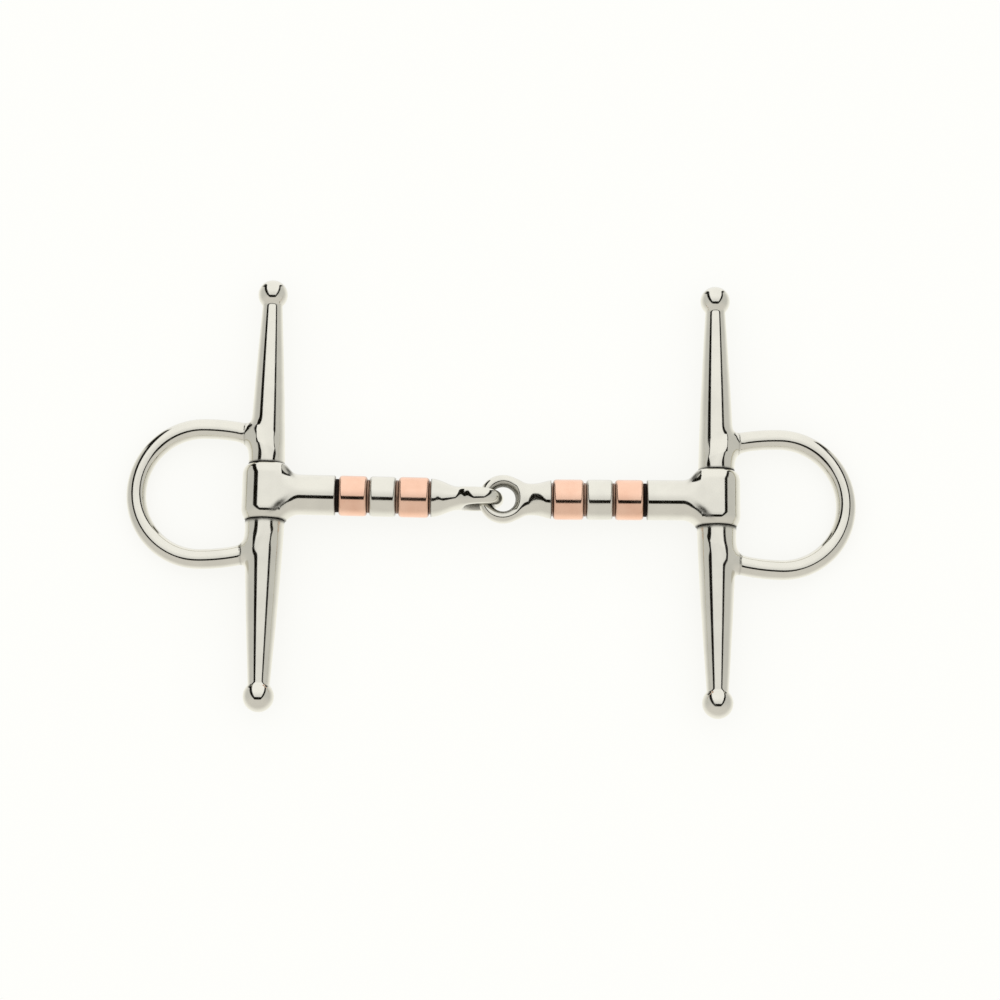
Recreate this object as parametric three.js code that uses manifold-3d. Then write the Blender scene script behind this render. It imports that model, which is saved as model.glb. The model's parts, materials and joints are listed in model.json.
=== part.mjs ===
// Full-cheek, single-jointed snaffle bit with three rollers on each arm of the mouthpiece.
// Millimetres, +Z up. The bit lies flat: the mouthpiece runs along X and the cheeks along Y.
// The origin is the centre of the footprint, on the surface that the bit lies on.
import * as THREE from 'three';
import { mergeVertices } from 'three/addons/utils/BufferGeometryUtils.js';
import Module from 'manifold-3d';

const wasm = await Module();
wasm.setup();

// Mouthpiece
const MOUTH_WIDTH = 139.7;        // between the two barrels, the size that a bit is sold by
const MOUTH_RADIUS = 7.0;         // cannon and rollers
const LEAN = THREE.MathUtils.degToRad(0.55);  // each half droops to the joint, seen in plan

// Barrel, which the cheek turns in, and the cannon cast with it
const BARREL_RADIUS = 8.3;
const BARREL_TOP = 10.2;          // from the mouthpiece's axis up the cheek
const BARREL_FOOT = 9.5;          // and down it
const BARREL_TOP_RADIUS = 5.9;
const BARREL_TOP_ROUND = 3.9;
const BARREL_TOP_STEPS = 5;
const BARREL_FOOT_RISE = 4.0;     // the barrel narrows over this height, down to its foot
const BARREL_FOOT_ARC = 5.0;
const BARREL_FOOT_SLOPE = THREE.MathUtils.degToRad(25);
const BARREL_FOOT_STEPS = 3;
const BARREL_SIDES = 32;
const CANNON_START = 2;           // inside the barrel
const CANNON_END = 24.2;
const CANNON_EDGE = 0.4;
const FLARE_HEIGHT = 9.6;         // half-height of the cannon's root, where it leaves the barrel
const FLARE_START = 5.5;
const FLARE_END = 13.0;
const FLARE_STEPS = 6;

// Fineness and clearances
const ROUND_SIDES = 24;
const WELD_DISTANCE = 1e-4;       // corners closer than this are one corner
const CUT_MARGIN = 1;             // how far a cutting tool runs past the face that it cuts
const FIXED_GAP = 0.3;            // between pieces that are fastened to each other
const RUNNING_GAP = 0.09;         // round a shaft that turns
const END_GAP = 0.15;             // at the end of a roller
const LINK_GAP = 0.4;             // between the two linked eyes

// Cheek arms: radius at the barrel and behind the ball, radius of the ball, and how far the arm
// starts and the centre of the ball are from the mouthpiece's axis
const UPPER_ARM = { base: 6.3, neck: 3.45, ball: 5.15, start: BARREL_TOP + FIXED_GAP, reach: 71.3 };
const LOWER_ARM = { base: 6.85, neck: 3.8, ball: 5.4, start: BARREL_FOOT + FIXED_GAP, reach: 71.1 };
const ARM_BULGE = 1.3;            // above 1 makes the taper slightly convex
const ARM_EDGE = 0.5;
const ARM_SIDES = 24;
const ARM_RINGS = 7;
const BALL_RINGS = 7;

// Ring that takes the rein
const RING_ROD = 3.43;
const RING_RADIUS = 23.1;
const RING_OFFSET = 22.4;         // ring centre from the cheek axis
const RING_SHOULDER_RADIUS = 70;  // gentle bend of each end, from the half circle to its stub
const RING_SHIFT = { left: 0, right: -0.9 };  // the right ring is welded on a little low
const RING_SIDES = 14;
const RING_STEPS = 44;

// Stub on each arm, a flared root that the ring is welded to
const STUB_END = 7.7;
const STUB_ROOT = 3.0;
const STUB_ROOT_RADIUS = 5.2;
const STUB_FLARE = 1.2;           // near 1 makes the stub nearly conical
const STUB_STEPS = 4;

// Cheek pin and roller spindle
const PIN_RADIUS = 3.0;
const PIN_DEPTH = 7.5;            // how far the pin reaches into each arm
const SPINDLE_RADIUS = 3.4;
const SPINDLE_START = 13.0;
const SPINDLE_END = 62.0;
const COLLAR_RADIUS = 5.8;        // the spindle's collars keep the rollers apart

// Rollers: where each starts and ends along the arm, from the cheek axis
const ROLLERS = [
  { name: 'outer_copper_roller', start: 25.4, end: 35.2, metal: 'copper' },
  { name: 'steel_roller', start: 36.0, end: 45.2, metal: 'steel' },
  { name: 'inner_copper_roller', start: 46.1, end: 56.7, metal: 'copper' },
];
const ROLLER_EDGE = 1.2;
const ROLLER_SIDES = 24;

// Link eye: a neck behind the inner roller that flattens into a round eye.
// The eye's rod is as thick across the eye's plane as EYE_DEPTHS says, from its root to its tip.
const EYE_ROD = 2.1;
const EYE_RADIUS = 6.45;          // centre line of the eye
const EYE_DEPTHS = [[0, 3.4], [1, 2.4]];
const EYE_ROD_SIDES = 14;
const EYE_STEPS = 36;
const NECK_START = 57.3;
const NECK_SINK = 0.4;            // how far the neck runs into the eye's rod
const NECK_WIDTHS = [[0, 6.4], [0.05, 6.8], [0.38, 5.7], [0.6, 5.5], [1, 5.6]];
const NECK_DEPTHS = [[0, 6.4], [0.05, 6.8], [0.25, 6.35], [0.49, 5.3], [0.73, 4.2], [0.9, 3.5], [1, 2.9]];
const NECK_RINGS = 12;
const NECK_SIDES = 24;

// Worked out from the above
const HALF_SPAN = MOUTH_WIDTH / 2 + BARREL_RADIUS;
const BARREL_HEIGHT = BARREL_RADIUS * Math.cos(Math.PI / BARREL_SIDES);
const RING_REACH = RING_OFFSET + RING_RADIUS;
const EYE_CENTRE = HALF_SPAN + LINK_GAP / 2 + EYE_ROD - EYE_RADIUS;
const NECK_END = EYE_CENTRE - EYE_RADIUS + NECK_SINK;
const TILT = Math.asin((EYE_RADIUS + EYE_ROD - BARREL_HEIGHT) / EYE_CENTRE);
const JOINT_HEIGHT = BARREL_HEIGHT + HALF_SPAN * Math.sin(TILT);
const RING_DROOP = Math.asin((BARREL_HEIGHT - RING_ROD) / RING_REACH) - TILT;
const FOOTPRINT_MIDDLE =
  (UPPER_ARM.reach + UPPER_ARM.ball - LOWER_ARM.reach - LOWER_ARM.ball) / 2 + HALF_SPAN * Math.sin(LEAN);

const METALS = {
  steel: new THREE.MeshStandardMaterial({ color: 0xdcd9d0, roughness: 0.12, metalness: 1 }),
  copper: new THREE.MeshStandardMaterial({ color: 0xe9a583, roughness: 0.2, metalness: 1 }),
};

// ---- joining and cutting solids ----

function toSolid(geometry) {
  const bare = geometry.clone();
  bare.deleteAttribute('normal');
  bare.deleteAttribute('uv');
  const merged = mergeVertices(bare, WELD_DISTANCE);
  return new wasm.Manifold(new wasm.Mesh({
    numProp: 3,
    vertProperties: new Float32Array(merged.attributes.position.array),
    triVerts: new Uint32Array(merged.index.array),
  }));
}

function toGeometry(solid) {
  const mesh = solid.getMesh();
  const geometry = new THREE.BufferGeometry();
  geometry.setAttribute('position', new THREE.BufferAttribute(mesh.vertProperties, 3));
  geometry.setIndex(new THREE.BufferAttribute(mesh.triVerts, 1));
  geometry.computeVertexNormals();
  return geometry;
}

// ---- shapes ----

// A solid of revolution about Y, from [radius, height] pairs given from the bottom up.
function turned(points, sides) {
  const profile = points.map(([radius, height]) => new THREE.Vector2(radius, height));
  return new THREE.LatheGeometry(profile, sides, Math.PI / sides);
}

function rod(radius, start, end) {
  const outline = [[0, start], [radius, start], [radius, end], [0, end]];
  return turned(outline, ROUND_SIDES);
}

// The radius that puts the flats of a round bore clear of a shaft.
function boreRadius(shaftRadius, gap) {
  return (shaftRadius + gap) / Math.cos(Math.PI / ROUND_SIDES);
}

function alongX(geometry) {
  return geometry.rotateZ(-Math.PI / 2);
}

// Reads a value from [position, value] pairs, in a straight line between neighbours.
function interpolated(pairs, position) {
  const next = Math.max(1, pairs.findIndex(([place]) => place >= position));
  const [startPlace, startValue] = pairs[next - 1];
  const [endPlace, endValue] = pairs[next];
  const part = (position - startPlace) / (endPlace - startPlace);
  return THREE.MathUtils.lerp(startValue, endValue, part);
}

// ---- the cheek ----

function armProfile(arm) {
  const neckEnd = arm.reach - Math.sqrt(arm.ball ** 2 - arm.neck ** 2);
  const points = [[0, arm.start], [arm.base - ARM_EDGE, arm.start]];
  for (let ring = 0; ring <= ARM_RINGS; ring += 1) {
    const part = ring / ARM_RINGS;
    const height = THREE.MathUtils.lerp(arm.start + ARM_EDGE, neckEnd, part);
    points.push([arm.base - (arm.base - arm.neck) * part ** ARM_BULGE, height]);
  }
  const neckAngle = Math.acos((arm.reach - neckEnd) / arm.ball);
  for (let ring = 1; ring < BALL_RINGS; ring += 1) {
    const angle = THREE.MathUtils.lerp(neckAngle, Math.PI, ring / BALL_RINGS);
    points.push([arm.ball * Math.sin(angle), arm.reach - arm.ball * Math.cos(angle)]);
  }
  points.push([0, arm.reach + arm.ball]);
  return points;
}

// The centre line of the ring's end, where it meets its stub.
function shoulderHeight(reach) {
  const run = RING_OFFSET - reach;
  return RING_RADIUS - RING_SHOULDER_RADIUS + Math.sqrt(RING_SHOULDER_RADIUS ** 2 - run ** 2);
}

function shoulderSlope(reach) {
  return Math.asin((RING_OFFSET - reach) / RING_SHOULDER_RADIUS);
}

// The stub points outwards along -X and leans the way the ring's end does.
function stub() {
  const length = STUB_END - STUB_ROOT;
  const outline = [[0, 0]];
  for (let step = 0; step <= STUB_STEPS; step += 1) {
    const part = step / STUB_STEPS;
    const flare = (1 - part) ** STUB_FLARE;
    outline.push([THREE.MathUtils.lerp(RING_ROD, STUB_ROOT_RADIUS, flare), length * part]);
  }
  outline.push([0, length]);
  const geometry = turned(outline, RING_SIDES);
  geometry.translate(0, STUB_ROOT - STUB_END, 0);
  geometry.rotateZ(Math.PI / 2 - shoulderSlope(STUB_END));
  return geometry.translate(-STUB_END, shoulderHeight(STUB_END), 0);
}

// An arm that points along +Y, with a blind bore for the cheek pin.
function arm(shape, ringShift, droop) {
  const body = toSolid(turned(armProfile(shape), ARM_SIDES));
  const branch = toSolid(stub().translate(0, ringShift, 0).rotateY(droop));
  const bore = toSolid(rod(boreRadius(PIN_RADIUS, FIXED_GAP), 0, shape.start + PIN_DEPTH + FIXED_GAP));
  return body.add(branch).subtract(bore);
}

function upperArm(side, droop) {
  return toGeometry(arm(UPPER_ARM, RING_SHIFT[side], droop));
}

// The lower arm is made as an arm that points up, then turned over about X.
function lowerArm(side, droop) {
  return toGeometry(arm(LOWER_ARM, -RING_SHIFT[side], -droop)).rotateX(Math.PI);
}

class RingPath extends THREE.Curve {
  getPoint(part, target = new THREE.Vector3()) {
    const startAngle = shoulderSlope(STUB_END + FIXED_GAP);
    const shoulder = startAngle * RING_SHOULDER_RADIUS;
    const halfCircle = Math.PI * RING_RADIUS;
    const along = (part - 0.5) * (halfCircle + 2 * shoulder);
    const side = Math.sign(along);
    const beyond = Math.abs(along) - halfCircle / 2;
    if (beyond <= 0) {
      const angle = along / RING_RADIUS;
      return target.set(-RING_OFFSET - RING_RADIUS * Math.cos(angle), -RING_RADIUS * Math.sin(angle), 0);
    }
    const turn = beyond / RING_SHOULDER_RADIUS;
    const drop = RING_SHOULDER_RADIUS * (1 - Math.cos(turn));
    const reach = RING_SHOULDER_RADIUS * Math.sin(turn);
    return target.set(reach - RING_OFFSET, -side * (RING_RADIUS - drop), 0);
  }
}

function ring(side, droop) {
  const section = new THREE.Shape().absarc(0, 0, RING_ROD, 0, 2 * Math.PI);
  const geometry = new THREE.ExtrudeGeometry(section, {
    steps: RING_STEPS,
    curveSegments: RING_SIDES / 2,
    bevelEnabled: false,
    extrudePath: new RingPath(),
  });
  return geometry.translate(0, RING_SHIFT[side], 0).rotateY(droop);
}

function cheekPin() {
  return rod(PIN_RADIUS, -LOWER_ARM.start - PIN_DEPTH, UPPER_ARM.start + PIN_DEPTH);
}

// ---- the mouthpiece ----

// The barrel's wall curves in to its foot, and curves over to its top.
function barrel() {
  const arcRise = BARREL_FOOT_ARC * Math.sin(BARREL_FOOT_SLOPE);
  const arcDrop = BARREL_FOOT_ARC * (1 - Math.cos(BARREL_FOOT_SLOPE));
  const footDrop = arcDrop + (BARREL_FOOT_RISE - arcRise) * Math.tan(BARREL_FOOT_SLOPE);
  const points = [[0, -BARREL_FOOT], [BARREL_RADIUS - footDrop, -BARREL_FOOT]];
  for (let step = 0; step <= BARREL_FOOT_STEPS; step += 1) {
    const angle = BARREL_FOOT_SLOPE * (1 - step / BARREL_FOOT_STEPS);
    const radius = BARREL_RADIUS - BARREL_FOOT_ARC * (1 - Math.cos(angle));
    points.push([radius, BARREL_FOOT_RISE - BARREL_FOOT - BARREL_FOOT_ARC * Math.sin(angle)]);
  }
  for (let step = 0; step <= BARREL_TOP_STEPS; step += 1) {
    const angle = step / BARREL_TOP_STEPS * Math.PI / 2;
    const radius = THREE.MathUtils.lerp(BARREL_TOP_RADIUS, BARREL_RADIUS, Math.cos(angle));
    points.push([radius, BARREL_TOP - BARREL_TOP_ROUND * (1 - Math.sin(angle))]);
  }
  points.push([0, BARREL_TOP]);
  return turned(points, BARREL_SIDES);
}

// The cannon is round, and its root flares along the barrel.
function cannonTube() {
  const outline = [[0, CANNON_START], [MOUTH_RADIUS, CANNON_START], [MOUTH_RADIUS, FLARE_START]];
  for (let step = 1; step <= FLARE_STEPS; step += 1) {
    outline.push([MOUTH_RADIUS, THREE.MathUtils.lerp(FLARE_START, FLARE_END, step / FLARE_STEPS)]);
  }
  outline.push([MOUTH_RADIUS, CANNON_END - CANNON_EDGE], [MOUTH_RADIUS - CANNON_EDGE, CANNON_END]);
  outline.push([0, CANNON_END]);
  const geometry = alongX(turned(outline, BARREL_SIDES));
  const positions = geometry.attributes.position;
  for (let index = 0; index < positions.count; index += 1) {
    const place = THREE.MathUtils.clamp(positions.getX(index), FLARE_START, FLARE_END);
    const part = (FLARE_END - place) / (FLARE_END - FLARE_START);
    const stretch = 1 + (FLARE_HEIGHT / MOUTH_RADIUS - 1) * part ** 2;
    positions.setY(index, positions.getY(index) * stretch);
  }
  return geometry;
}

function cannon() {
  const pinRadius = boreRadius(PIN_RADIUS, RUNNING_GAP);
  const pinBore = rod(pinRadius, -BARREL_FOOT - CUT_MARGIN, BARREL_TOP + CUT_MARGIN);
  const spindleRadius = boreRadius(SPINDLE_RADIUS, FIXED_GAP);
  const spindleBore = alongX(rod(spindleRadius, SPINDLE_START - FIXED_GAP, CANNON_END + CUT_MARGIN));
  const body = toSolid(barrel()).add(toSolid(cannonTube()));
  return toGeometry(body.subtract(toSolid(pinBore)).subtract(toSolid(spindleBore)));
}

// A shaft with a collar in each gap between the cannon, the rollers and the neck.
function rollerSpindle() {
  const ends = [CANNON_END, ...ROLLERS.map((shape) => shape.end)];
  const starts = [...ROLLERS.map((shape) => shape.start), NECK_START];
  const outline = [[0, SPINDLE_START], [SPINDLE_RADIUS, SPINDLE_START]];
  ends.forEach((end, index) => {
    const from = end + END_GAP;
    const to = starts[index] - END_GAP;
    outline.push([SPINDLE_RADIUS, from], [COLLAR_RADIUS, from], [COLLAR_RADIUS, to], [SPINDLE_RADIUS, to]);
  });
  outline.push([SPINDLE_RADIUS, SPINDLE_END], [0, SPINDLE_END]);
  return alongX(turned(outline, ROUND_SIDES));
}

function roller({ start, end }) {
  const bore = boreRadius(SPINDLE_RADIUS, RUNNING_GAP);
  const inner = MOUTH_RADIUS - ROLLER_EDGE;
  const outline = [[bore, start], [inner, start]];
  outline.push([inner + ROLLER_EDGE * Math.SQRT1_2, start + ROLLER_EDGE * (1 - Math.SQRT1_2)]);
  outline.push([MOUTH_RADIUS, start + ROLLER_EDGE], [MOUTH_RADIUS, end - ROLLER_EDGE]);
  outline.push([inner + ROLLER_EDGE * Math.SQRT1_2, end - ROLLER_EDGE * (1 - Math.SQRT1_2)]);
  outline.push([inner, end], [bore, end], [bore, start]);
  return alongX(turned(outline, ROLLER_SIDES));
}

// The neck is as wide as the eye in the eye's own plane, and thins to the eye's rod across it.
function neck() {
  const outline = [[0, NECK_START]];
  for (let ringIndex = 0; ringIndex <= NECK_RINGS; ringIndex += 1) {
    outline.push([1, THREE.MathUtils.lerp(NECK_START, NECK_END, ringIndex / NECK_RINGS)]);
  }
  outline.push([0, NECK_END]);
  const geometry = alongX(turned(outline, NECK_SIDES));
  const positions = geometry.attributes.position;
  for (let index = 0; index < positions.count; index += 1) {
    const part = (positions.getX(index) - NECK_START) / (NECK_END - NECK_START);
    const place = THREE.MathUtils.clamp(part, 0, 1);
    positions.setY(index, positions.getY(index) * interpolated(NECK_WIDTHS, place));
    positions.setZ(index, positions.getZ(index) * interpolated(NECK_DEPTHS, place));
  }
  return geometry;
}

// A ring in the XY plane, thick at the neck and thinner at the tip.
function eye() {
  const outerRadius = EYE_RADIUS + EYE_ROD;
  const geometry = new THREE.TorusGeometry(EYE_RADIUS, EYE_ROD, EYE_ROD_SIDES, EYE_STEPS);
  const positions = geometry.attributes.position;
  for (let index = 0; index < positions.count; index += 1) {
    const part = (positions.getX(index) + outerRadius) / (2 * outerRadius);
    const place = THREE.MathUtils.clamp(part, 0, 1);
    positions.setZ(index, positions.getZ(index) * interpolated(EYE_DEPTHS, place) / EYE_ROD);
  }
  return geometry.translate(EYE_CENTRE, 0, 0);
}

// The eye lies in the XY plane, or in the XZ plane when it is turned.
function linkEye(turn) {
  const body = toSolid(neck()).add(toSolid(eye()));
  const boreStart = NECK_START - CUT_MARGIN;
  const bore = alongX(rod(boreRadius(SPINDLE_RADIUS, FIXED_GAP), boreStart, SPINDLE_END + FIXED_GAP));
  return toGeometry(body.subtract(toSolid(bore))).rotateX(turn);
}

// ---- the two halves ----

function piece(side, name, geometry, metal) {
  const mesh = new THREE.Mesh(geometry, METALS[metal]);
  mesh.name = `${side}_${name}`;
  return mesh;
}

// A half points along +X from its cheek, and its barrel rests as low as its eye does.
// The right half is turned over about Y, so that it points along -X.
function half(side) {
  const isLeft = side === 'left';
  const droop = isLeft ? -RING_DROOP : RING_DROOP;
  const pieces = new THREE.Group();
  pieces.position.x = -HALF_SPAN;
  pieces.add(piece(side, 'upper_arm', upperArm(side, droop), 'steel'));
  pieces.add(piece(side, 'lower_arm', lowerArm(side, droop), 'steel'));
  pieces.add(piece(side, 'ring', ring(side, droop), 'steel'));
  pieces.add(piece(side, 'cheek_pin', cheekPin(), 'steel'));
  pieces.add(piece(side, 'cannon', cannon(), 'steel'));
  pieces.add(piece(side, 'roller_spindle', rollerSpindle(), 'steel'));
  for (const shape of ROLLERS) {
    pieces.add(piece(side, shape.name, roller(shape), shape.metal));
  }
  pieces.add(piece(side, 'link_eye', linkEye(isLeft ? Math.PI / 2 : 0), 'steel'));

  const tilted = new THREE.Group();
  tilted.rotation.y = isLeft ? -TILT : Math.PI + TILT;
  tilted.add(pieces);
  const leaned = new THREE.Group();
  leaned.position.set(0, -FOOTPRINT_MIDDLE, JOINT_HEIGHT);
  leaned.rotation.z = isLeft ? -LEAN : LEAN;
  leaned.add(tilted);
  return leaned;
}

const bit = new THREE.Group();
bit.add(half('left'), half('right'));

export default bit;
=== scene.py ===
"""Looks for a full-cheek snaffle bit with a roller mouthpiece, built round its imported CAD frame.

Each CAD node is replaced by a smooth piece of the same size in the same place. Shapes are worked out
in millimetres in a half's own frame: the origin is on the cheek axis, X runs along the mouthpiece to
the centre joint, Y runs up the cheek, and Z is at right angles to both.
"""
import json
import math

import bmesh
import bpy
import numpy as np
from mathutils import Matrix, Vector


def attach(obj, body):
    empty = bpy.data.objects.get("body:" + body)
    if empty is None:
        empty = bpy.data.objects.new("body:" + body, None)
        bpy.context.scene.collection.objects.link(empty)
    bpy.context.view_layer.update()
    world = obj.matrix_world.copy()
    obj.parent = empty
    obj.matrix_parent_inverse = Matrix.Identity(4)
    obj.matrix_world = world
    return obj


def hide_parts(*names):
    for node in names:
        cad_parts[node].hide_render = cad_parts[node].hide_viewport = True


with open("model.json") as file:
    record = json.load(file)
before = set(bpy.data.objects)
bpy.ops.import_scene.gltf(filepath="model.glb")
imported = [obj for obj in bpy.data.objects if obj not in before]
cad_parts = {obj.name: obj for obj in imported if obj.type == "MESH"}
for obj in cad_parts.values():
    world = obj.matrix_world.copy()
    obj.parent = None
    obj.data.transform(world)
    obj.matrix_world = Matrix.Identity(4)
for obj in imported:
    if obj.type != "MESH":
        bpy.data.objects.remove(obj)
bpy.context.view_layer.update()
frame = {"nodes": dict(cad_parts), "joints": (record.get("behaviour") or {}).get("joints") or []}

MM = 0.001
SIDES = ("left", "right")
JOINTS = {joint["name"]: joint for joint in frame["joints"]}

# Sizes that the CAD model has, in millimetres
BARREL_TOP = 10.2
BARREL_FOOT = 9.5
FIXED_GAP = 0.3
UPPER_ARM = {"base": 6.3, "neck": 3.45, "ball": 5.15, "start": BARREL_TOP + FIXED_GAP, "reach": 71.3}
LOWER_ARM = {"base": 6.85, "neck": 3.8, "ball": 5.4, "start": BARREL_FOOT + FIXED_GAP, "reach": 71.1}
ARM_BULGE = 1.3
RING_ROD = 3.43
RING_RADIUS = 23.1
RING_OFFSET = 22.4
RING_SHOULDER_RADIUS = 70.0
RING_SHIFT = {"left": 0.0, "right": -0.9}
STUB_END = 7.7
STUB_ROOT = 3.0
STUB_ROOT_RADIUS = 5.2
STUB_FLARE = 1.2
UPPER_WEB = (7.0, 3.0)      # how widely a weld spreads, inside the ring and outside it
LOWER_WEB = (5.5, 2.2)
WEB_REACH = 3.0
BARREL_RADIUS = 8.3
BARREL_TOP_RADIUS = 5.9
BARREL_TOP_ROUND = 3.9
BARREL_FOOT_RISE = 4.0
BARREL_FOOT_ARC = 5.0
BARREL_FOOT_SLOPE = math.radians(25)
MOUTH_RADIUS = 7.0
CANNON_START = 4.5
CANNON_END = 24.2
FLARE_HEIGHT = 9.6
FLARE_START = 5.5
FLARE_END = 12.0
PIN_RADIUS = 3.0
PIN_DEPTH = 7.5
SPINDLE_RADIUS = 3.4
SPINDLE_START = 13.0
SPINDLE_END = 62.0
COLLAR_RADIUS = 5.8
END_GAP = 0.15
ROLLER_EDGE = 1.2
EYE_ROD = 2.1
EYE_RADIUS = 6.45
EYE_DEPTHS = ((0, 1), (3.4, 2.4))
NECK_START = 57.3
NECK_SINK = 0.4
NECK_WIDTHS = ((0, 0.06, 0.38, 0.6, 1), (6.75, 6.75, 5.7, 5.5, 5.6))
NECK_DEPTHS = ((0, 0.06, 0.25, 0.49, 0.73, 0.9, 1), (6.75, 6.75, 6.35, 5.3, 4.2, 3.5, 2.9))
RUNNING_GAP = 0.09

# Finer shapes that the CAD model leaves out, in millimetres
BALL_BLEND = 0.7
ROD_END = 1.0
ROD_EDGE = 0.5
STUB_EDGE = 1.5
STUB_SLOPE = 0.87           # evens out the slope of the stub's cone
FOOT_SLOPE = 0.95           # and of the barrel's foot
CANNON_EDGE = 0.9
CANNON_BLEND = 3.5
CANNON_SQUARENESS = 2.0     # how much squarer than an ellipse the cannon's root is
BARREL_TOP_EDGE = 0.2
BARREL_FOOT_EDGE = 0.7
NECK_EASE = 0.2
NECK_START_EDGE = 0.5
NECK_END_EDGE = 1.0
EYE_BLEND = 3.0
PIN_EDGE = 0.4
CHEEK_STEP = 0.42           # grid steps of the meshes
RING_STEP = 0.45
CANNON_STEP = 0.33
EYE_STEP = 0.28

# How much painted shade darkens and dulls the joints, gaps and hollows, from 0 to 1
SEAM_PAINTED_SHADE = 0.25
ARM_PAINTED_SHADE = 0.9
BARREL_PAINTED_SHADE = 0.85
CANNON_END_PAINTED_SHADE = 0.6
FILLET_PAINTED_SHADE = 0.95
NECK_PAINTED_SHADE = 0.6
EYE_PAINTED_SHADE = 0.8
ROLLER_PAINTED_SHADE = 0.5
SPINDLE_PAINTED_SHADE = 0.95


# ---- places taken from the frame ----

def half_frame(side):
    """The matrix from a half's own frame, in millimetres, to the row frame, in metres."""
    cheek = JOINTS[f"{side}_cheek_swivel"]
    up = Vector(cheek["axis"]) * (1 if side == "left" else -1)
    along = Vector(JOINTS[f"{side}_outer_roller_spin"]["axis"])
    out = along.cross(up)
    matrix = Matrix((along, up, out)).transposed().to_4x4()
    matrix.translation = Vector(cheek["pos_m"])
    return matrix @ Matrix.Scale(MM, 4)


def node_points(side, name):
    """The corners of a CAD node, in its half's own frame."""
    node = frame["nodes"][f"{side}_{name}"]
    points = np.array([vertex.co for vertex in node.data.vertices], float)
    back = np.array(half_frame(side).inverted())
    return points @ back[:3, :3].T + back[:3, 3]


def ring_droop(side):
    """How far the ring hangs below the plane of its half, as an angle about the cheek axis."""
    points = node_points(side, "ring")
    tip = points[points[:, 0] < points[:, 0].min() + RING_ROD].mean(axis=0)
    return math.atan2(tip[2], -tip[0])


# ---- implicit shapes: each is below zero inside ----

def smooth_min(first, second, blend):
    overlap = np.maximum(blend - np.abs(first - second), 0) / blend
    return np.minimum(first, second) - overlap ** 3 * blend / 6


def smooth_max(first, second, blend):
    return -smooth_min(-first, -second, blend)


def eased(part, pairs, reach):
    """A value read from places and values, with its corners rounded off over a reach."""
    shifts = np.linspace(-1, 1, 9)
    weights = 1 - 0.9 * np.abs(shifts)
    total = sum(
        weight * np.interp(part + reach * shift, *pairs) for shift, weight in zip(shifts, weights))
    return total / weights.sum()


def arm_field(points, shape):
    """A cheek arm that points along +Y: a tapered spike with a ball at its end."""
    neck_end = shape["reach"] - math.sqrt(shape["ball"] ** 2 - shape["neck"] ** 2)
    height = points[:, 1]
    part = np.clip((height - shape["start"]) / (neck_end - shape["start"]), 0, 1)
    radius = shape["base"] - (shape["base"] - shape["neck"]) * part ** ARM_BULGE
    spike = np.hypot(points[:, 0], points[:, 2]) - radius
    spike = np.maximum(spike, height - shape["reach"])
    ball = np.linalg.norm(points - (0, shape["reach"], 0), axis=1) - shape["ball"]
    return smooth_min(spike, ball, BALL_BLEND)


def ring_place(points, side):
    """Where points are, seen from the ring: its own x, and how far they are from its centre line."""
    angle = ring_droop(side)
    x = points[:, 0] * math.cos(angle) - points[:, 2] * math.sin(angle)
    z = points[:, 0] * math.sin(angle) + points[:, 2] * math.cos(angle)
    y = points[:, 1] - RING_SHIFT[side]
    past = x + RING_OFFSET
    circle = np.hypot(past, y) - RING_RADIUS
    shoulder = np.hypot(past, np.abs(y) + RING_SHOULDER_RADIUS - RING_RADIUS) - RING_SHOULDER_RADIUS
    line = np.where(past < 0, circle, shoulder)
    return x, line, np.hypot(line, z)


def cheek_field(points, side):
    """Both arms with their stubs, and the ring between them, with a web inside each weld."""
    lower = points * (1, -1, -1)
    arms = np.where(points[:, 1] > 0, arm_field(points, UPPER_ARM), arm_field(lower, LOWER_ARM))
    x, line, apart = ring_place(points, side)
    rod = smooth_max(apart - RING_ROD, x - ROD_END, ROD_EDGE)
    part = np.clip((x + STUB_END) / (STUB_END - STUB_ROOT), 0, 1)
    stub = (apart - RING_ROD - (STUB_ROOT_RADIUS - RING_ROD) * part ** STUB_FLARE) * STUB_SLOPE
    stub = smooth_max(stub, x + STUB_ROOT, STUB_EDGE)
    stub = np.maximum(stub, -STUB_END - x)
    inner, outer = (np.where(points[:, 1] > 0, *pair) for pair in zip(UPPER_WEB, LOWER_WEB))
    web = inner + (outer - inner) * np.clip((line + WEB_REACH) / (2 * WEB_REACH), 0, 1)
    return smooth_min(arms, smooth_min(rod, stub, ROD_EDGE), web)


def barrel_field(radius, height):
    """The barrel's wall, which curves in to its foot and over to its top."""
    side_room = BARREL_RADIUS - BARREL_TOP_RADIUS
    out = np.maximum(radius - BARREL_TOP_RADIUS, 0) / side_room
    over = np.maximum(height - BARREL_TOP + BARREL_TOP_ROUND, 0) / BARREL_TOP_ROUND
    upper = (np.hypot(out, over) - 1) * side_room
    below = np.maximum(BARREL_FOOT_RISE - BARREL_FOOT - height, 0)
    arc_rise = BARREL_FOOT_ARC * math.sin(BARREL_FOOT_SLOPE)
    arc = BARREL_FOOT_ARC - np.sqrt(BARREL_FOOT_ARC ** 2 - np.minimum(below, arc_rise) ** 2)
    drop = arc + np.maximum(below - arc_rise, 0) * math.tan(BARREL_FOOT_SLOPE)
    return np.maximum(upper, (radius - BARREL_RADIUS + drop) * FOOT_SLOPE)


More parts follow.
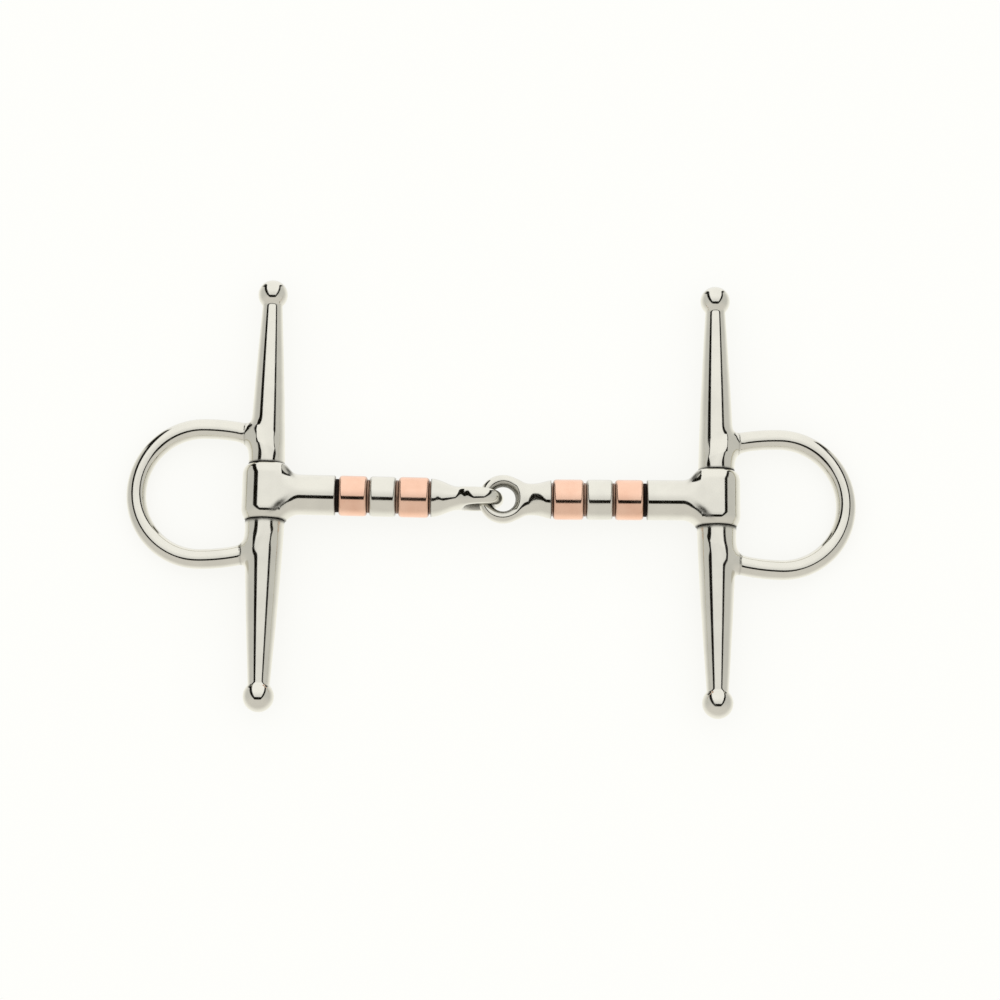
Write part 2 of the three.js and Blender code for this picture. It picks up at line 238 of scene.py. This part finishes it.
def cannon_field(points):
    """The barrel with the cannon growing out of it, taller where it leaves the barrel."""
    radius = np.hypot(points[:, 0], points[:, 2])
    height = points[:, 1]
    part = np.clip((FLARE_END - points[:, 0]) / (FLARE_END - FLARE_START), 0, 1)
    tall = 1 + (FLARE_HEIGHT / MOUTH_RADIUS - 1) * part ** 2
    squareness = 2 + CANNON_SQUARENESS * part ** 2
    across = np.abs(height / tall) ** squareness + np.abs(points[:, 2]) ** squareness
    side = across ** (1 / squareness) - MOUTH_RADIUS
    middle, half = (CANNON_START + CANNON_END) / 2, (CANNON_END - CANNON_START) / 2
    tube = smooth_max(side, np.abs(points[:, 0] - middle) - half, CANNON_EDGE)
    body = smooth_min(barrel_field(radius, height), tube, CANNON_BLEND)
    body = smooth_max(body, height - BARREL_TOP, BARREL_TOP_EDGE)
    body = smooth_max(body, -BARREL_FOOT - height, BARREL_FOOT_EDGE)
    pin_bore = radius - PIN_RADIUS - RUNNING_GAP
    spindle_bore = np.maximum(
        np.hypot(points[:, 1], points[:, 2]) - SPINDLE_RADIUS - RUNNING_GAP,
        SPINDLE_START - FIXED_GAP - points[:, 0])
    return np.maximum(body, -np.minimum(pin_bore, spindle_bore))


def eye_field(points, upright, eye_centre):
    """The neck behind the inner roller and the round eye that it flattens into."""
    x = points[:, 0]
    y, z = (points[:, 2], points[:, 1]) if upright else (points[:, 1], points[:, 2])
    neck_end = eye_centre - EYE_RADIUS + NECK_SINK
    part = (x - NECK_START) / (neck_end - NECK_START)
    wide = eased(part, NECK_WIDTHS, NECK_EASE)
    deep = eased(part, NECK_DEPTHS, NECK_EASE)
    neck = (np.hypot(y / wide, z / deep) - 1) * np.minimum(wide, deep)
    neck = smooth_max(neck, NECK_START - x, NECK_START_EDGE)
    neck = smooth_max(neck, x - neck_end, NECK_END_EDGE)
    outer = EYE_RADIUS + EYE_ROD
    depth = np.interp((x - eye_centre + outer) / (2 * outer), *EYE_DEPTHS)
    from_rod = np.hypot(x - eye_centre, y) - EYE_RADIUS
    rim = (np.hypot(from_rod / EYE_ROD, z / depth) - 1) * EYE_ROD
    body = smooth_min(neck, rim, EYE_BLEND)
    bore = np.maximum(
        np.hypot(y, z) - SPINDLE_RADIUS - RUNNING_GAP, x - SPINDLE_END - FIXED_GAP)
    return np.maximum(body, -bore)


# ---- from an implicit shape to a mesh ----

def gradient(field, points, reach=0.004):
    slopes = np.empty_like(points)
    for axis in range(3):
        step = np.zeros(3)
        step[axis] = reach
        slopes[:, axis] = (field(points + step) - field(points - step)) / (2 * reach)
    return slopes


def settle(field, points, rounds=4):
    """Moves points onto the surface, along its own slope."""
    for _ in range(rounds):
        slopes = gradient(field, points)
        steep = np.maximum((slopes ** 2).sum(axis=1), 0.05)
        move = -field(points) / steep
        points = points + np.clip(move, -0.5, 0.5)[:, None] * slopes
    return points


def net_points(grid, values):
    """A corner in each grid cell that the surface crosses, and the number of each cell's corner."""
    cells = tuple(size - 1 for size in values.shape)
    total = np.zeros(cells + (3,))
    count = np.zeros(cells)
    offsets = [(i, j, k) for i in (0, 1) for j in (0, 1) for k in (0, 1)]

    def corner(array, offset):
        return array[tuple(slice(o, o + c) for o, c in zip(offset, cells))]

    for start in offsets:
        for axis in range(3):
            if start[axis]:
                continue
            end = tuple(1 if i == axis else start[i] for i in range(3))
            value_start, value_end = corner(values, start), corner(values, end)
            crossing = (value_start < 0) != (value_end < 0)
            share = np.where(crossing, value_start / np.where(crossing, value_start - value_end, 1), 0)
            place = corner(grid, start) + share[..., None] * (corner(grid, end) - corner(grid, start))
            total += np.where(crossing[..., None], place, 0)
            count += crossing
    used = count > 0
    index = np.full(cells, -1)
    index[used] = np.arange(used.sum())
    return total[used] / count[used][:, None], index


def net_quads(values, index):
    """A quad round each grid edge that the surface crosses, facing outwards."""
    cells = index.shape
    quads = []
    for axis in range(3):
        one, two = [i for i in range(3) if i != axis]
        span = [slice(None)] * 3
        span[axis] = slice(0, -1)
        after = list(span)
        after[axis] = slice(1, None)
        first, second = values[tuple(span)] < 0, values[tuple(after)] < 0
        places = np.argwhere(first != second)
        inner = [(places[:, i] > 0) & (places[:, i] < cells[i]) for i in (one, two)]
        places = places[inner[0] & inner[1]]
        ring = []
        for back_one, back_two in ((1, 1), (0, 1), (0, 0), (1, 0)):
            cell = places.copy()
            cell[:, one] -= back_one
            cell[:, two] -= back_two
            ring.append(index[tuple(cell.T)])
        faces = np.stack(ring, axis=1)
        outward = first[tuple(places.T)] != (axis == 1)
        faces[~outward] = faces[~outward][:, ::-1]
        quads.append(faces)
    return np.concatenate(quads)


def net_surface(field, low, high, step):
    """Quads over the surface of an implicit shape, by surface nets on a grid."""
    axes = [np.arange(low[i] - step, high[i] + 2 * step, step) for i in range(3)]
    grid = np.stack(np.meshgrid(*axes, indexing="ij"), axis=-1)
    values = field(grid.reshape(-1, 3)).reshape(grid.shape[:3])
    points, index = net_points(grid, values)
    return points, net_quads(values, index)


def even_out(field, points, quads, rounds=3):
    """Spreads the corners evenly over the surface."""
    edges = np.concatenate([quads[:, [i, (i + 1) % 4]] for i in range(4)])
    both = np.concatenate([edges, edges[:, ::-1]])
    count = np.bincount(both[:, 0], minlength=len(points))[:, None]
    for _ in range(rounds):
        sums = [np.bincount(both[:, 0], points[both[:, 1], i], len(points)) for i in range(3)]
        mean = np.stack(sums, axis=1)
        points = settle(field, points + 0.6 * (mean / count - points), 2)
    return points


def new_object(name, mesh, side):
    mesh.transform(half_frame(side))
    mesh.update()
    piece = bpy.data.objects.new(name, mesh)
    bpy.context.scene.collection.objects.link(piece)
    return piece


def cut_off(mesh, cuts):
    """Cuts a mesh with planes in its half's frame and caps it. Each cut is (point, direction to drop)."""
    solid = bmesh.new()
    solid.from_mesh(mesh)
    for point, direction in cuts:
        everything = solid.verts[:] + solid.edges[:] + solid.faces[:]
        result = bmesh.ops.bisect_plane(
            solid, geom=everything, dist=1e-4, plane_co=point, plane_no=direction, clear_outer=True)
        rim = [item for item in result["geom_cut"] if isinstance(item, bmesh.types.BMEdge)]
        bmesh.ops.triangle_fill(solid, edges=rim, use_beauty=True, normal=direction)
    bmesh.ops.recalc_face_normals(solid, faces=solid.faces)
    solid.to_mesh(mesh)
    solid.free()


def shade(mesh, field, cuts):
    """Smooth normals from the implicit shape itself, and flat ones on the caps."""
    points = np.empty(len(mesh.vertices) * 3)
    mesh.vertices.foreach_get("co", points)
    slopes = gradient(field, points.reshape(-1, 3))
    slopes /= np.maximum(np.linalg.norm(slopes, axis=1), 1e-9)[:, None]
    corners = np.empty(len(mesh.loops), int)
    mesh.loops.foreach_get("vertex_index", corners)
    normals = slopes[corners]
    for polygon in mesh.polygons:
        flat = any(Vector(direction).dot(polygon.normal) > 0.999 for _, direction in cuts)
        if flat:
            normals[list(polygon.loop_indices)] = polygon.normal
    mesh.polygons.foreach_set("use_smooth", [True] * len(mesh.polygons))
    mesh.normals_split_custom_set(normals.tolist())


def near(distance, reach):
    """1 at a distance of nothing, fading over a reach."""
    return np.exp(-(distance / reach) ** 2)


def no_painted_shade(points):
    return np.zeros(len(points))


def add_painted_shade(mesh, painted_shade):
    """Stores how dark and dull each corner is as painted shade: 1 deep in a joint, gap or hollow where shade
    falls.
    """
    points = np.empty(len(mesh.vertices) * 3)
    mesh.vertices.foreach_get("co", points)
    values = np.clip(painted_shade(points.reshape(-1, 3)), 0, 1)
    attribute = mesh.attributes.new("painted_shade", "FLOAT", "POINT")
    attribute.data.foreach_set("value", values.astype(np.float32))


def implicit_piece(name, side, field, low, high, step, painted_shade, cuts=()):
    points, quads = net_surface(field, low, high, step)
    points = even_out(field, settle(field, points), quads)
    mesh = bpy.data.meshes.new(name)
    mesh.from_pydata(points.tolist(), [], quads.tolist())
    if cuts:
        cut_off(mesh, cuts)
    shade(mesh, field, cuts)
    add_painted_shade(mesh, painted_shade)
    return new_object(name, mesh, side)


def turned_piece(name, side, outline, axis, painted_shade, sides=96):
    """A lathe-turned piece from a closed outline of (radius, place along the axis)."""
    points, faces = [], []
    for turn in range(sides):
        angle = 2 * math.pi * turn / sides
        for radius, place in outline:
            across = (radius * math.cos(angle), radius * math.sin(angle))
            point = (place, *across) if axis == 0 else (across[1], place, across[0])
            points.append(point)
    length = len(outline)
    for turn in range(sides):
        for step in range(length):
            here, there = turn * length + step, turn * length + (step + 1) % length
            after, beyond = (here + length) % len(points), (there + length) % len(points)
            faces.append((here, there, beyond, after))
    mesh = bpy.data.meshes.new(name)
    mesh.from_pydata(points, [], faces)
    solid = bmesh.new()
    solid.from_mesh(mesh)
    bmesh.ops.remove_doubles(solid, verts=solid.verts, dist=1e-5)
    bmesh.ops.recalc_face_normals(solid, faces=solid.faces)
    solid.to_mesh(mesh)
    solid.free()
    mesh.polygons.foreach_set("use_smooth", [True] * len(mesh.polygons))
    mesh.set_sharp_from_angle(angle=math.radians(40))
    add_painted_shade(mesh, painted_shade)
    return new_object(name, mesh, side)


def rounded_outline(radius, start, end, edge, bore=0.0):
    """The half section of a bar or a tube with rounded outer edges."""
    outline = [(bore, start)]
    turns = 8
    for step in range(turns + 1):
        angle = math.pi / 2 * step / turns
        outline.append((radius - edge * (1 - math.sin(angle)), start + edge * (1 - math.cos(angle))))
    for step in range(turns + 1):
        angle = math.pi / 2 * step / turns
        outline.append((radius - edge * (1 - math.cos(angle)), end - edge * (1 - math.sin(angle))))
    outline.append((bore, end))
    return outline


# ---- materials ----

def add_node(tree, kind, **values):
    node = tree.nodes.new(kind)
    for name, value in values.items():
        setattr(node, name, value)
    return node


def number(tree, operation, first, second=None, clamp=False):
    """A math node on one or two numbers or sockets."""
    node = add_node(tree, "ShaderNodeMath", operation=operation, use_clamp=clamp)
    for socket, value in zip(node.inputs, (first, second)):
        if value is None:
            continue
        if isinstance(value, (int, float)):
            socket.default_value = value
        else:
            tree.links.new(value, socket)
    return node.outputs[0]


def mixed_colour(tree, share, first, second):
    node = add_node(tree, "ShaderNodeMix", data_type="RGBA")
    for socket, value in zip((node.inputs[0], node.inputs[6], node.inputs[7]), (share, first, second)):
        if isinstance(value, (int, float)):
            socket.default_value = value
        elif isinstance(value, tuple):
            socket.default_value = (*value, 1)
        else:
            tree.links.new(value, socket)
    return node.outputs[2]


LINE_SCALE = 1600
SCRATCHES = ((420, (0.12, 1.0, 1.0), (0.66, 0.70)), (380, (1.0, 0.15, 1.0), (0.67, 0.71)))
MARK_SCALE = 140
PAINTED_SHADE_SCALE = 2600
WORN_RANGE = (0.35, 0.6)
DULL_RANGE = (0.3, 0.75)
MARK_DULLNESS = 1.8
SCRATCH_DULLNESS = 0.05
PAINTED_SHADE_DULLNESS = 0.4
SCRATCH_DEPTH = 0.8
BUMP_STRENGTH = 0.014
BUMP_DISTANCE = 0.00005


def metal(name, colour, worn_colour, roughness, grain):
    """A polished metal with fine polishing lines, sparse scratches and faint handling marks.

    grain stretches the polishing lines: a small number along an axis makes them run along it."""
    material = bpy.data.materials.new(name)
    material.use_nodes = True
    tree = material.node_tree
    shader = tree.nodes["Principled BSDF"]
    link = tree.links.new
    place = add_node(tree, "ShaderNodeTexCoord").outputs["Object"]

    def noise(scale, detail, stretch=None):
        vector = place
        if stretch:
            mapping = add_node(tree, "ShaderNodeMapping")
            mapping.inputs["Scale"].default_value = stretch
            link(place, mapping.inputs["Vector"])
            vector = mapping.outputs["Vector"]
        texture = add_node(tree, "ShaderNodeTexNoise")
        texture.inputs["Scale"].default_value = scale
        texture.inputs["Detail"].default_value = detail
        link(vector, texture.inputs["Vector"])
        return texture.outputs["Fac"]

    def ranged(value, low, high, to_low, to_high):
        node = add_node(tree, "ShaderNodeMapRange")
        for socket, amount in zip(list(node.inputs)[1:5], (low, high, to_low, to_high)):
            socket.default_value = amount
        link(value, node.inputs["Value"])
        return node.outputs["Result"]

    lines = noise(LINE_SCALE, 3, grain)
    scratches, cross_scratches = (
        ranged(noise(scale, 2, stretch), *edges, 0, 1) for scale, stretch, edges in SCRATCHES)
    marks = noise(MARK_SCALE, 6)
    # Painted shade: a stored value per corner darkens the colour towards a dark copy of it and dulls it in
    # joints, gaps and hollows, patchy over a fine noise.
    painted_shade = add_node(tree, "ShaderNodeAttribute", attribute_name="painted_shade").outputs["Fac"]
    patchy = number(tree, "MULTIPLY", painted_shade, ranged(noise(PAINTED_SHADE_SCALE, 3), 0.25, 0.6, 0.8, 1.15), clamp=True)

    tint = mixed_colour(tree, ranged(marks, *WORN_RANGE, 0, 1), worn_colour, colour)
    dark = tuple(0.02 + 0.10 * channel ** 2 for channel in colour)
    link(mixed_colour(tree, patchy, tint, dark), shader.inputs["Base Color"])

    scratched = number(tree, "MAXIMUM", scratches, cross_scratches)
    dull = number(tree, "ADD", ranged(marks, *DULL_RANGE, roughness, roughness * MARK_DULLNESS),
                  number(tree, "MULTIPLY", scratched, SCRATCH_DULLNESS))
    dull = number(tree, "ADD", dull, number(tree, "MULTIPLY", patchy, PAINTED_SHADE_DULLNESS))
    link(dull, shader.inputs["Roughness"])

    height = number(tree, "SUBTRACT", lines, number(tree, "MULTIPLY", scratched, SCRATCH_DEPTH))
    bump = add_node(tree, "ShaderNodeBump")
    bump.inputs["Strength"].default_value = BUMP_STRENGTH
    bump.inputs["Distance"].default_value = BUMP_DISTANCE
    link(height, bump.inputs["Height"])
    link(bump.outputs["Normal"], shader.inputs["Normal"])
    shader.inputs["Metallic"].default_value = 1
    return material


STEEL = (0.79, 0.775, 0.70)
STEEL_WORN = (0.75, 0.735, 0.665)
COPPER = (0.955, 0.63, 0.475)
COPPER_WORN = (0.90, 0.565, 0.415)
# Dark brown steel for the spindle and the cheek pins: painted shade, so the narrow gaps between the rollers
# and round the barrel read dark.
SPINDLE_STEEL = (0.34, 0.22, 0.16)
SPINDLE_WORN = (0.26, 0.16, 0.11)
MATERIALS = {
    "cheek_steel": metal("cheek_steel", STEEL, STEEL_WORN, 0.07, (4, 0.35, 4)),
    "mouth_steel": metal("mouth_steel", STEEL, STEEL_WORN, 0.07, (0.35, 4, 4)),
    "roller_steel": metal("roller_steel", STEEL, STEEL_WORN, 0.09, (6, 0.6, 0.6)),
    "roller_copper": metal("roller_copper", COPPER, COPPER_WORN, 0.10, (6, 0.6, 0.6)),
    "shade_dark_steel": metal("shade_dark_steel", SPINDLE_STEEL, SPINDLE_WORN, 0.35, (6, 0.6, 0.6)),
}


# ---- the pieces ----

ROLLERS = (
    ("outer_copper_roller", "outer_roller", "roller_copper"),
    ("steel_roller", "middle_roller", "roller_steel"),
    ("inner_copper_roller", "inner_roller", "roller_copper"),
)


def finish_piece(piece, side, node, body, material):
    piece.data.materials.append(MATERIALS[material])
    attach(piece, f"{side}_{body}")
    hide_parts(f"{side}_{node}")


def build_cheek(side):
    pin_top, pin_foot = UPPER_ARM["start"] + PIN_DEPTH, -LOWER_ARM["start"] - PIN_DEPTH
    pin_middle, pin_half = (pin_top + pin_foot) / 2, (pin_top - pin_foot) / 2

    def field(points):
        body = cheek_field(points, side)
        bore = np.maximum(
            np.hypot(points[:, 0], points[:, 2]) - PIN_RADIUS - RUNNING_GAP,
            np.abs(points[:, 1] - pin_middle) - pin_half - FIXED_GAP)
        return np.maximum(body, -bore)

    # Painted shade: darker and duller along the weld seam and where each arm leaves the barrel, where shade
    # falls in the gaps.
    def painted_shade(points):
        x, _, apart = ring_place(points, side)
        seam = near(x + STUB_END, 0.3) * (apart < RING_ROD + 1)
        upper = near(points[:, 1] - UPPER_ARM["start"], 0.35)
        lower = near(points[:, 1] + LOWER_ARM["start"], 0.7)
        on_arm = np.hypot(points[:, 0], points[:, 2]) < BARREL_RADIUS
        return np.maximum(SEAM_PAINTED_SHADE * seam, ARM_PAINTED_SHADE * on_arm * np.maximum(upper, lower))

    ring_points = node_points(side, "ring")
    arm_points = node_points(side, "upper_arm")
    seam = (ring_points[:, 0].max() + arm_points[:, 0].min()) / 2
    room = 1.5
    for name, turn, shape in (("upper_arm", 1, UPPER_ARM), ("lower_arm", -1, LOWER_ARM)):
        points = node_points(side, name)
        low, high = points.min(axis=0) - room, points.max(axis=0) + room
        cuts = (((seam, 0, 0), (-1, 0, 0)), ((0, turn * shape["start"], 0), (0, -turn, 0)))
        piece = implicit_piece(f"{side}_{name}_piece", side, field, low, high, CHEEK_STEP, painted_shade, cuts)
        finish_piece(piece, side, name, "cheek", "cheek_steel")
    low, high = ring_points.min(axis=0) - room, ring_points.max(axis=0) + room
    cuts = (((seam, 0, 0), (1, 0, 0)),)
    piece = implicit_piece(f"{side}_ring_piece", side, field, low, high, RING_STEP, painted_shade, cuts)
    finish_piece(piece, side, "ring", "cheek", "cheek_steel")
    outline = rounded_outline(PIN_RADIUS, pin_foot, pin_top, PIN_EDGE)
    piece = turned_piece(f"{side}_cheek_pin_piece", side, outline, 1, no_painted_shade, 48)
    finish_piece(piece, side, "cheek_pin", "cheek", "shade_dark_steel")


# Painted shade in the hollows between barrel and cannon: where on the half's X and Y, which way, width and
# length
FILLETS = (((7.9, 7.5), -50, 0.7, 2.2), ((4.9, -4.9), 42, 0.9, 3.0))


def build_arm(side):
    # Painted shade: darker and duller at the barrel's foot and top, at the cannon's end and in the hollows
    # between barrel and cannon.
    def cannon_painted_shade(points):
        wall = np.hypot(points[:, 0], points[:, 2]) < BARREL_RADIUS
        foot = near(points[:, 1] + BARREL_FOOT, 0.3) * wall
        top = near(points[:, 1] - BARREL_TOP, 0.2) * wall
        end = near(points[:, 0] - CANNON_END, 0.3)
        joint = np.maximum(BARREL_PAINTED_SHADE * np.maximum(foot, top), CANNON_END_PAINTED_SHADE * end)
        for (x, y), degrees, width, length in FILLETS:
            turn = math.radians(degrees)
            out_x, out_y = points[:, 0] - x, points[:, 1] - y
            along = out_x * math.cos(turn) + out_y * math.sin(turn)
            across = out_y * math.cos(turn) - out_x * math.sin(turn)
            joint = np.maximum(joint, FILLET_PAINTED_SHADE * near(across, width) * near(along, length))
        return joint

    points = node_points(side, "cannon")
    low, high = points.min(axis=0) - 1, points.max(axis=0) + 1
    name = f"{side}_cannon_piece"
    piece = implicit_piece(name, side, cannon_field, low, high, CANNON_STEP, cannon_painted_shade)
    finish_piece(piece, side, "cannon", "arm", "mouth_steel")

    rollers = [node_points(side, node)[:, 0] for node, _, _ in ROLLERS]
    ends = [CANNON_END] + [places.max() for places in rollers]
    starts = [places.min() for places in rollers] + [NECK_START]
    outline = [(0.0, SPINDLE_START), (SPINDLE_RADIUS, SPINDLE_START)]
    for end, start in zip(ends, starts):
        outline += [(SPINDLE_RADIUS, end + END_GAP), (COLLAR_RADIUS, end + END_GAP)]
        outline += [(COLLAR_RADIUS, start - END_GAP), (SPINDLE_RADIUS, start - END_GAP)]
    outline += [(SPINDLE_RADIUS, SPINDLE_END), (0.0, SPINDLE_END)]

    # Painted shade: the spindle is darker still inside the cannon and up to the first roller.
    def spindle_painted_shade(places):
        return SPINDLE_PAINTED_SHADE * (places[:, 0] < starts[0])

    piece = turned_piece(f"{side}_roller_spindle_piece", side, outline, 0, spindle_painted_shade, 64)
    finish_piece(piece, side, "roller_spindle", "arm", "shade_dark_steel")

    points = node_points(side, "link_eye")
    eye_centre = points[:, 0].max() - EYE_RADIUS - EYE_ROD
    upright = side == "left"

    def field(places):
        return eye_field(places, upright, eye_centre)

    # Painted shade: darker and duller where the neck meets the inner roller and inside the eye's hole.
    def eye_painted_shade(places):
        across = places[:, 2 if upright else 1]
        inwards = EYE_RADIUS - np.hypot(places[:, 0] - eye_centre, across)
        hole = np.clip(inwards / EYE_ROD - 0.1, 0, EYE_PAINTED_SHADE)
        return np.maximum(NECK_PAINTED_SHADE * near(places[:, 0] - NECK_START, 0.3), hole)

    low, high = points.min(axis=0) - 1, points.max(axis=0) + 1
    piece = implicit_piece(f"{side}_link_eye_piece", side, field, low, high, EYE_STEP, eye_painted_shade)
    finish_piece(piece, side, "link_eye", "arm", "mouth_steel")


def build_rollers(side):
    for node, body, material in ROLLERS:
        points = node_points(side, node)
        start, end = points[:, 0].min(), points[:, 0].max()
        outline = rounded_outline(MOUTH_RADIUS, start, end, ROLLER_EDGE, SPINDLE_RADIUS + RUNNING_GAP)

        # Painted shade: darker and duller at each end of the roller, by the gaps.
        def painted_shade(places, start=start, end=end):
            inwards = np.minimum(places[:, 0] - start, end - places[:, 0])
            return ROLLER_PAINTED_SHADE * near(inwards, 0.5)

        piece = turned_piece(f"{side}_{node}_piece", side, outline, 0, painted_shade)
        finish_piece(piece, side, node, body, material)


for side in SIDES:
    build_cheek(side)
    build_arm(side)
    build_rollers(side)


# ---- studio ----

PALE = (0.995, 0.995, 0.965)
PANEL_EDGES = (0.60, 0.61)          # how the soft box's side edges lean: behind, and overhead
PANEL_FOOT = 13                     # degrees above the horizon behind
PANEL_SOFTNESS = 0.03
PANEL_LEVELS = (0.84, 1.07)         # brightness at its foot and overhead
PANEL_TINT = (1.005, 1.0, 0.985)
LEFT_FRAME = (1.1, 1.24)
RIGHT_FRAME = (0.85, 1.02)
FRAME_FOOT = 33
FRAME_SOFTNESS = 0.05
FRAME_FADE = (0.2, 0.75)
FRAME_BLACK = (0.006, 0.005, 0.003)
ROOM_SIDES = (0.66, 0.655, 0.63)
ROOM_FRONT = (0.745, 0.725, 0.69)
ROOM_GROUND = (1.06, 1.05, 1.0)
SHADOW_COLOUR = (0.62, 0.6, 0.55, 1)
SHADOW_REACH = 0.03
SHADOW_STRENGTH = 0.3


def build_world():
    """A large soft box leaning over from behind, in a black frame, in a grey room.

    Polished steel mirrors it: a bright band with thin black edges and grey beyond."""
    world = bpy.data.worlds.new("studio")
    bpy.context.scene.world = world
    world.use_nodes = True
    tree = world.node_tree
    link = tree.links.new
    split = add_node(tree, "ShaderNodeSeparateXYZ")
    link(add_node(tree, "ShaderNodeTexCoord").outputs["Generated"], split.inputs[0])
    x, y, z = split.outputs
    above = number(tree, "MAXIMUM", z, 0.0)
    down = number(tree, "MULTIPLY", z, -1.0)

    def smooth(value, low, high, to_low=0.0, to_high=1.0):
        node = add_node(tree, "ShaderNodeMapRange", interpolation_type="SMOOTHSTEP")
        for socket, amount in zip(list(node.inputs)[1:5], (low, high, to_low, to_high)):
            socket.default_value = amount
        link(value, node.inputs["Value"])
        return node.outputs["Result"]

    def side_room(behind, overhead, sign):
        edge = number(tree, "ADD",
                      number(tree, "MULTIPLY", y, behind), number(tree, "MULTIPLY", above, overhead))
        return number(tree, "ADD", edge, number(tree, "MULTIPLY", x, sign))

    def foot_room(degrees):
        return number(tree, "ADD", y, number(tree, "MULTIPLY", z, math.tan(math.radians(degrees))))

    def inside(left, right, foot, softness):
        room = number(tree, "MINIMUM", number(tree, "MINIMUM", left, right), foot)
        return number(tree, "DIVIDE", room, softness, clamp=True)

    panel_foot = foot_room(PANEL_FOOT)
    panel = inside(
        side_room(*PANEL_EDGES, 1.0), side_room(*PANEL_EDGES, -1.0), panel_foot, PANEL_SOFTNESS)
    surround = inside(
        side_room(*LEFT_FRAME, 1.0), side_room(*RIGHT_FRAME, -1.0), foot_room(FRAME_FOOT),
        FRAME_SOFTNESS)
    surround = number(tree, "MULTIPLY", surround, smooth(down, *FRAME_FADE, 1.0, 0.0))

    forwards = number(tree, "MULTIPLY", y, -1.0)
    room = mixed_colour(tree, smooth(forwards, 0.0, 0.6), ROOM_SIDES, ROOM_FRONT)
    room = mixed_colour(tree, smooth(down, 0.0, 0.85), room, ROOM_GROUND)
    seen = mixed_colour(tree, surround, room, FRAME_BLACK)
    level = smooth(panel_foot, 0.0, 0.75, *PANEL_LEVELS)
    white = add_node(tree, "ShaderNodeCombineColor")
    for socket, share in zip(white.inputs, PANEL_TINT):
        link(number(tree, "MULTIPLY", level, share), socket)
    seen = mixed_colour(tree, panel, seen, white.outputs[0])

    path = add_node(tree, "ShaderNodeLightPath")
    lit = mixed_colour(tree, path.outputs["Is Camera Ray"], seen, PALE)
    link(lit, tree.nodes["Background"].inputs["Color"])


def build_floor():
    """A pale sheet that only shows as the soft shadow it takes from what lies on it, so that a half
    that is folded down past it isn't hidden. The metal mirrors the studio's own ground instead."""
    size = 4.0
    mesh = bpy.data.meshes.new("floor")
    corners = [(-size, -size, 0), (size, -size, 0), (size, size, 0), (-size, size, 0)]
    mesh.from_pydata(corners, [], [(0, 1, 2, 3)])
    floor = bpy.data.objects.new("floor", mesh)
    bpy.context.scene.collection.objects.link(floor)
    floor.visible_glossy = False
    material = bpy.data.materials.new("floor_pale")
    material.use_nodes = True
    tree = material.node_tree
    link = tree.links.new
    tree.nodes.clear()
    shadow = add_node(tree, "ShaderNodeEmission")
    shadow.inputs["Color"].default_value = SHADOW_COLOUR
    clear = add_node(tree, "ShaderNodeBsdfTransparent")
    hidden = add_node(tree, "ShaderNodeAmbientOcclusion", samples=12)
    hidden.inputs["Distance"].default_value = SHADOW_REACH
    covered = number(tree, "SUBTRACT", 1.0, hidden.outputs["AO"])
    strength = number(tree, "MULTIPLY", covered, SHADOW_STRENGTH)
    seen = add_node(tree, "ShaderNodeMixShader")
    link(strength, seen.inputs[0])
    link(clear.outputs[0], seen.inputs[1])
    link(shadow.outputs[0], seen.inputs[2])
    output = add_node(tree, "ShaderNodeOutputMaterial")
    link(seen.outputs[0], output.inputs["Surface"])
    mesh.materials.append(material)


def build_camera():
    """Almost straight above, leaning towards the lower arms, through a long lens."""
    elevation = math.radians(78)
    distance = 1.39
    view_width = 0.3466
    roll = math.radians(0.85)
    sensor = 36.0
    joint = Vector(JOINTS["centre_joint"]["pos_m"])
    aside = Vector((0.0054, -0.0002, 0.0))
    aim = joint + aside
    back = Vector((0, -math.cos(elevation), math.sin(elevation)))
    data = bpy.data.cameras.new("camera")
    data.sensor_width = sensor
    data.lens = sensor * distance / view_width
    camera = bpy.data.objects.new("camera", data)
    camera.rotation_mode = "QUATERNION"
    turn = (-back).to_track_quat("-Z", "Y")
    camera.rotation_quaternion = turn @ Matrix.Rotation(roll, 3, "Z").to_quaternion()
    camera.location = aim + back * distance
    bpy.context.scene.collection.objects.link(camera)
    bpy.context.scene.camera = camera


build_world()
build_floor()
build_camera()
bpy.context.scene.view_settings.view_transform = "Standard"
